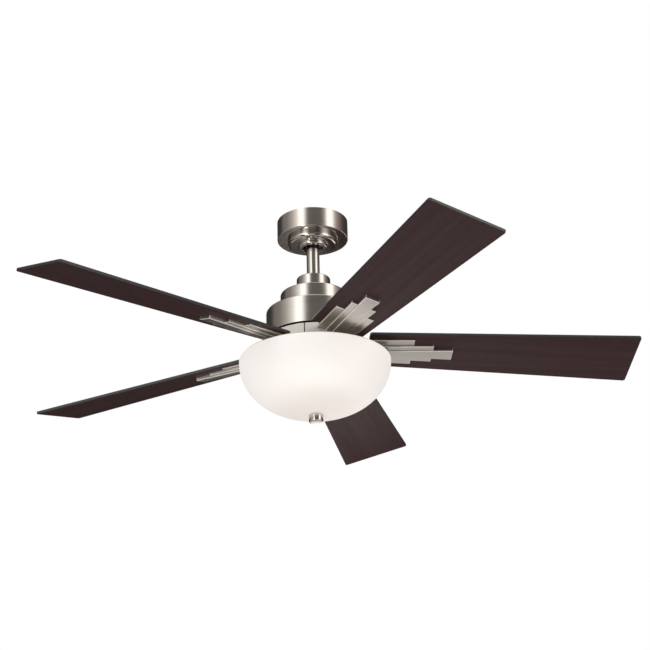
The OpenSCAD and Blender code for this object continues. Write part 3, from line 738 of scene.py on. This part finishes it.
def ring_segment():
    """One arm's fifth of the ring under the motor: a top plate and a skirt."""
    top = top_of("blade_arm_1")
    low, inner = top - RING_H, RING_R - ARM_SKIRT
    bm = swept([
        (RING_IN_R, top), (RING_R, top), (RING_R, low), (inner, low),
        (inner, top - ARM_SKIRT), (RING_IN_R, top - ARM_SKIRT)
    ], BLADE_STEP - RING_GAP, 36)
    ease_edges_with_painted_highlight(bm, sharp_edges(bm))
    for face in bm.faces:
        if abs(face.normal.z) < 0.1 and face.calc_center_median().xy.length > RING_R - 1 * MM:
            face.material_index = 1
    start = Matrix.Rotation(RING_SKEW - BLADE_STEP / 2 + RING_GAP / 2, 4, "Z")
    bmesh.ops.transform(bm, matrix=start, verts=bm.verts[:])
    return bm


# The arms' flat nickel, the ring's nickel with painted light, and the painted edge highlight.
ARM_METALS = [brushed_metal, ring_nickel_painted_bright, edge_highlight_paint]


def arm_mesh():
    """Blade arm 1, turned so that its blade lies along +X."""
    unturned = Matrix.Rotation(-BLADE_PHASE, 4, "Z") @ blade_place(1)
    parts = [mesh_of(ring_segment())]
    for i in range(3):
        bm = finger_layer(i)
        bmesh.ops.transform(bm, matrix=unturned, verts=bm.verts[:])
        parts.append(mesh_of(bm))
    for mesh in parts:
        for material in ARM_METALS:
            mesh.materials.append(material)
    bm = bmesh_of(combined(parts))
    bmesh.ops.remove_doubles(bm, verts=bm.verts[:], dist=1e-6)
    bmesh.ops.dissolve_limit(bm, angle_limit=math.radians(0.5), verts=bm.verts[:], edges=bm.edges[:],
                             delimit={"MATERIAL"})
    level = unturned.inverted()

    def brushed_way(face, co):
        middle = face.calc_center_median()
        if math.hypot(middle.x, middle.y) < RING_R + 0.2 * MM:
            return math.atan2(co.y, co.x) * RING_R, co.z + math.hypot(co.x, co.y)
        flat = level @ co
        return flat.x, flat.y + flat.z + 0.5

    map_faces(bm, brushed_way)
    return mesh_of(bm)


def blade_arms():
    mesh = arm_mesh()
    for k in range(1, 6):
        bm = repeated(mesh, [Matrix.Rotation(BLADE_PHASE + BLADE_STEP * (k - 1), 4, "Z")])
        piece(f"stepped_arm_{k}", bm, ARM_METALS, "rotor", "brushed_nickel", f"blade_arm_{k}")


def cross_recess_screw(shank_r, head_r, head_h, length):
    """A pan head screw that points down from Z 0, its head above."""
    head = turned([
        (0, head_h), (head_r * 0.55, head_h * 0.96), (head_r, head_h * 0.45, head_r * 0.2),
        (head_r, 0, 0.1 * MM), (shank_r, 0), (shank_r, -length, 0.5 * MM), (0, -length)
    ], closed=False, steps=SMALL_TURN_STEPS // 2)
    tools = []
    for turn in (0, math.pi / 2):
        bm = bmesh.new()
        bmesh.ops.create_cube(bm, size=1)
        size = Matrix.Diagonal((head_r * 1.1, head_r * 0.22, head_h, 1))
        place = Matrix.Translation((0, 0, head_h * 0.95)) @ Matrix.Rotation(turn, 4, "Z") @ size
        bmesh.ops.transform(bm, matrix=place, verts=bm.verts[:])
        tools.append(mesh_of(bm))
    return combined([mesh_of(head), *tools], "DIFFERENCE")


def blade_screws():
    mesh = cross_recess_screw(shank_r=2.3 * MM, head_r=5 * MM, head_h=2.6 * MM, length=9.8 * MM)
    seat = -BLADE_UNDER + WASHER_T
    places = [blade_place(k) @ Matrix.Translation((x, y, seat)) @ Matrix.Rotation(k * 1.3 + x * 40, 4, "Z")
              for k in range(1, 6) for x, y in BLADE_SCREWS]
    piece("blade_screw_set", repeated(mesh, places), [screw_metal], "rotor", "nickel_screw", "blade_screws")


# ---------------------------------------------------------------- light

BOWL_POWER = 2.15
BOWL_STEPS = 48
GLASS_T = 3.5 * MM
GLASS_HOLE_R = 7 * MM
GLASS_RIM = 1.2 * MM


def bowl_line(r, depth, rim_z, hole_r):
    """The bowl's outline from its rim down to the hole in its bottom."""
    points = []
    for i in range(BOWL_STEPS + 1):
        angle = math.pi / 2 * i / BOWL_STEPS
        x = r * max(math.cos(angle), 0) ** (2 / BOWL_POWER)
        if x > hole_r:
            points.append((x, rim_z - depth * math.sin(angle) ** (2 / BOWL_POWER)))
    end = rim_z - depth * (1 - (hole_r / r) ** BOWL_POWER) ** (1 / BOWL_POWER)
    return points + [(hole_r, end)]


def glass_bowl():
    r, rim_z = radius_of("glass_bowl"), top_of("glass_bowl")
    depth = rim_z - bottom_of("glass_bowl")
    outer = bowl_line(r, depth, rim_z, GLASS_HOLE_R)
    inner = bowl_line(r - GLASS_T, depth - GLASS_T, rim_z, GLASS_HOLE_R)
    bm = turned([(*outer[0], GLASS_RIM), *outer[1:], *inner[:0:-1], (*inner[0], GLASS_RIM)])
    piece("opal_bowl", bm, [glass], "bowl", "opal_glass", "glass_bowl")


PAN_T = 1 * MM
PAN_FLAT_R = 64 * MM
PAN_HOLE_R = 5.1 * MM
PAN_BEND = 6 * MM
PAN_BRIM = 10 * MM


def light_pan():
    r, top, low = radius_of("light_pan"), top_of("light_pan"), bottom_of("light_pan")
    brim_r = r - PAN_BRIM
    bm = turned([
        (PAN_HOLE_R, top), (PAN_FLAT_R, top, PAN_BEND), (brim_r, low + PAN_T, PAN_BEND),
        (r, low + PAN_T, 0.3 * MM), (r, low, 0.3 * MM), (brim_r, low, PAN_BEND),
        (PAN_FLAT_R, top - PAN_T, PAN_BEND), (PAN_HOLE_R, top - PAN_T)
    ])
    piece("bowl_pan", bm, [enamel], "hanging_motor", "white_enamel", "light_pan")


CUP_WALL = 1.5 * MM
CUP_BORE = 8.6 * MM
CUP_ROUND = 3 * MM
CUP_FLANGE = 8 * MM


def switch_cup():
    r, top, low, wall = radius_of("switch_cup"), top_of("switch_cup"), bottom_of("switch_cup"), CUP_WALL
    lip_r = r - CUP_FLANGE
    bm = turned([
        (CUP_BORE, top), (r, top, CUP_ROUND), (r, low, 0.3 * MM), (lip_r, low), (lip_r, low + wall),
        (r - wall, low + wall), (r - wall, top - wall, CUP_ROUND - wall), (CUP_BORE, top - wall)
    ])
    piece("wiring_cup", bm, [turned_metal], "hanging_motor", "brushed_nickel", "switch_cup")


FINIAL_GAP = 0.02 * MM
FINIAL_BORE_R = 5.05 * MM
FINIAL_FLOOR = 3.5 * MM
FINIAL_TAPER = 0.6 * MM


def finial():
    """A turned knob with a blind bore for the centre rod, just clear of the washer over it."""
    r, top, low = radius_of("finial"), top_of("finial") - FINIAL_GAP, bottom_of("finial")
    bore_top = low + FINIAL_FLOOR
    bm = turned([
        (FINIAL_BORE_R, top), (r, top, 0.8 * MM), (r - FINIAL_TAPER, low, 2.5 * MM), (0, low)
    ], closed=False, steps=SMALL_TURN_STEPS * 2)
    inside = turned([
        (FINIAL_BORE_R, top), (FINIAL_BORE_R, bore_top), (0, bore_top)
    ], closed=False, steps=SMALL_TURN_STEPS * 2)
    bm.from_mesh(mesh_of(inside))
    bmesh.ops.remove_doubles(bm, verts=bm.verts[:], dist=WELD)
    bmesh.ops.recalc_face_normals(bm, faces=bm.faces[:])
    piece("finial_knob", bm, [polished_metal], "finial", "brushed_nickel", "finial")


canopy()
canopy_cover()
hanger()
downrod()
tier("coupling_cup", "coupling_cover", "coupling_cover", 14 * MM, 2.3 * MM)
tier("upper_drum", "upper_housing", "hanging_motor", 23 * MM, 2.5 * MM)
tier("motor_drum", "motor_housing", "hanging_motor", 10 * MM, 3 * MM)
flywheel()
blade_arms()
for k in range(1, 6):
    blade(k)
blade_screws()
switch_cup()
light_pan()
glass_bowl()
finial()


# ---------------------------------------------------------------- studio

# Round the object, seen from above: degrees from the front, positive to the right, then
# the colour of the wall there. The near-white stretches are the soft boxes.
STUDIO_WALL = [
    (-180, (0.06, 0.052, 0.05)), (-171, (0.06, 0.052, 0.05)), (-163, (0.05, 0.045, 0.04)),
    (-128, (0.05, 0.045, 0.04)), (-119, (0.10, 0.09, 0.085)), (-112, (0.24, 0.21, 0.20)),
    (-89, (0.30, 0.275, 0.26)), (-68, (0.62, 0.57, 0.53)), (-50, (1.25, 1.20, 1.12)),
    (-42, (2.0, 2.0, 1.95)), (-30, (2.0, 2.0, 1.95)), (-19, (0.30, 0.30, 0.28)),
    (-13, (0.155, 0.15, 0.14)), (30, (0.155, 0.15, 0.135)), (42, (0.45, 0.43, 0.41)),
    (50, (2.0, 1.92, 1.85)), (66, (2.0, 1.92, 1.85)), (80, (0.55, 0.46, 0.42)),
    (95, (0.32, 0.23, 0.22)), (112, (0.12, 0.09, 0.09)), (131, (0.05, 0.045, 0.04)),
    (163, (0.05, 0.045, 0.04)), (171, (0.06, 0.052, 0.05)), (180, (0.06, 0.052, 0.05)),
]
OVERHEAD = (1.4, 1.4, 1.4)
UNDERFOOT = (0.08, 0.07, 0.065)
BACKDROP = (1.0, 1.0, 1.0)


def studio_walls():
    """A white backdrop, and a soft ring of light and dark walls that only the object sees."""
    world = bpy.data.worlds.new("studio")
    bpy.context.scene.world = world
    shader = Shader(world)
    x, y, z = shader.xyz(shader.node("ShaderNodeTexCoord").out("Generated"))
    azimuth = x.math("ARCTAN2", y * -1) / FULL_TURN + 0.5
    stops = [((angle + 180) / 360, colour) for angle, colour in STUDIO_WALL]
    wall = shader.node("ShaderNodeValToRGB", {"stops": stops}, {0: azimuth})
    high = shader.blend(shader.ease(z, 0.75, 0.98), wall, OVERHEAD)
    low = shader.blend(shader.ease(z, -0.25, -0.80), high, UNDERFOOT)
    seen = shader.node("ShaderNodeLightPath").out("Is Camera Ray")
    colour = shader.blend(seen, low, BACKDROP)
    light = shader.node("ShaderNodeBackground", {}, {"Color": colour, "Strength": 1.0})
    shader.node("ShaderNodeOutputWorld", {}, {"Surface": light})


def soft_box(name, place, target, width, height, power):
    """A soft light, faintly warm, aimed from one place to another and not seen itself."""
    light = bpy.data.lights.new(name, "AREA")
    light.shape = "RECTANGLE"
    light.size = width
    light.size_y = height
    light.energy = power
    light.color = (1, 0.98, 0.96)
    obj = bpy.data.objects.new(name, light)
    bpy.context.scene.collection.objects.link(obj)
    aim = Vector(target) - Vector(place)
    obj.matrix_world = Matrix.Translation(place) @ aim.to_track_quat("-Z", "Y").to_matrix().to_4x4()
    obj.visible_camera = False


FLOOR_Z = -5.2
FLOOR_R = 8.0


def floor():
    """A plain pale floor, well below the fan."""
    bm = bmesh.new()
    bmesh.ops.create_circle(bm, cap_ends=True, segments=96, radius=FLOOR_R)
    bmesh.ops.translate(bm, verts=bm.verts[:], vec=(0, 0, FLOOR_Z))
    obj = bpy.data.objects.new("studio_floor", mesh_of(bm, "studio_floor"))
    bpy.context.scene.collection.objects.link(obj)
    paint = mottled("pale_floor", (0.74, 0.74, 0.73), (0.78, 0.78, 0.77), 0.8, 0.0, 3)
    obj.data.materials.append(paint)


CAMERA_PLACE = (0, -3.16013, -1.59077)
CAMERA_RISE = math.radians(23.271)
CAMERA_YAW = math.radians(0.393)
CAMERA_ROLL = math.radians(-1.272)
CAMERA_LENS = 93.9


def camera():
    """Below the fan and in front of it, looking up."""
    data = bpy.data.cameras.new("view")
    data.lens = CAMERA_LENS
    data.sensor_width = 36
    data.clip_start = 0.05
    data.clip_end = 60
    obj = bpy.data.objects.new("view", data)
    bpy.context.scene.collection.objects.link(obj)
    yaw = Matrix.Rotation(-CAMERA_YAW, 4, "Z")
    rise = Matrix.Rotation(math.pi / 2 + CAMERA_RISE, 4, "X")
    roll = Matrix.Rotation(CAMERA_ROLL, 4, "Z")
    obj.matrix_world = Matrix.Translation(CAMERA_PLACE) @ yaw @ rise @ roll
    bpy.context.scene.camera = obj


studio_walls()
soft_box("fill_from_below", (-1.6, -2.6, -2.9), (0, 0, -0.3), 0.7, 0.6, 28)
soft_box("arm_glow", (0.25, 0.80, -0.62), (0.25, 0, -0.62), 0.55, 0.24, 0.8)
floor()
camera()
bpy.context.scene.view_settings.view_transform = "Standard"
bpy.context.scene.cycles.use_denoising = True
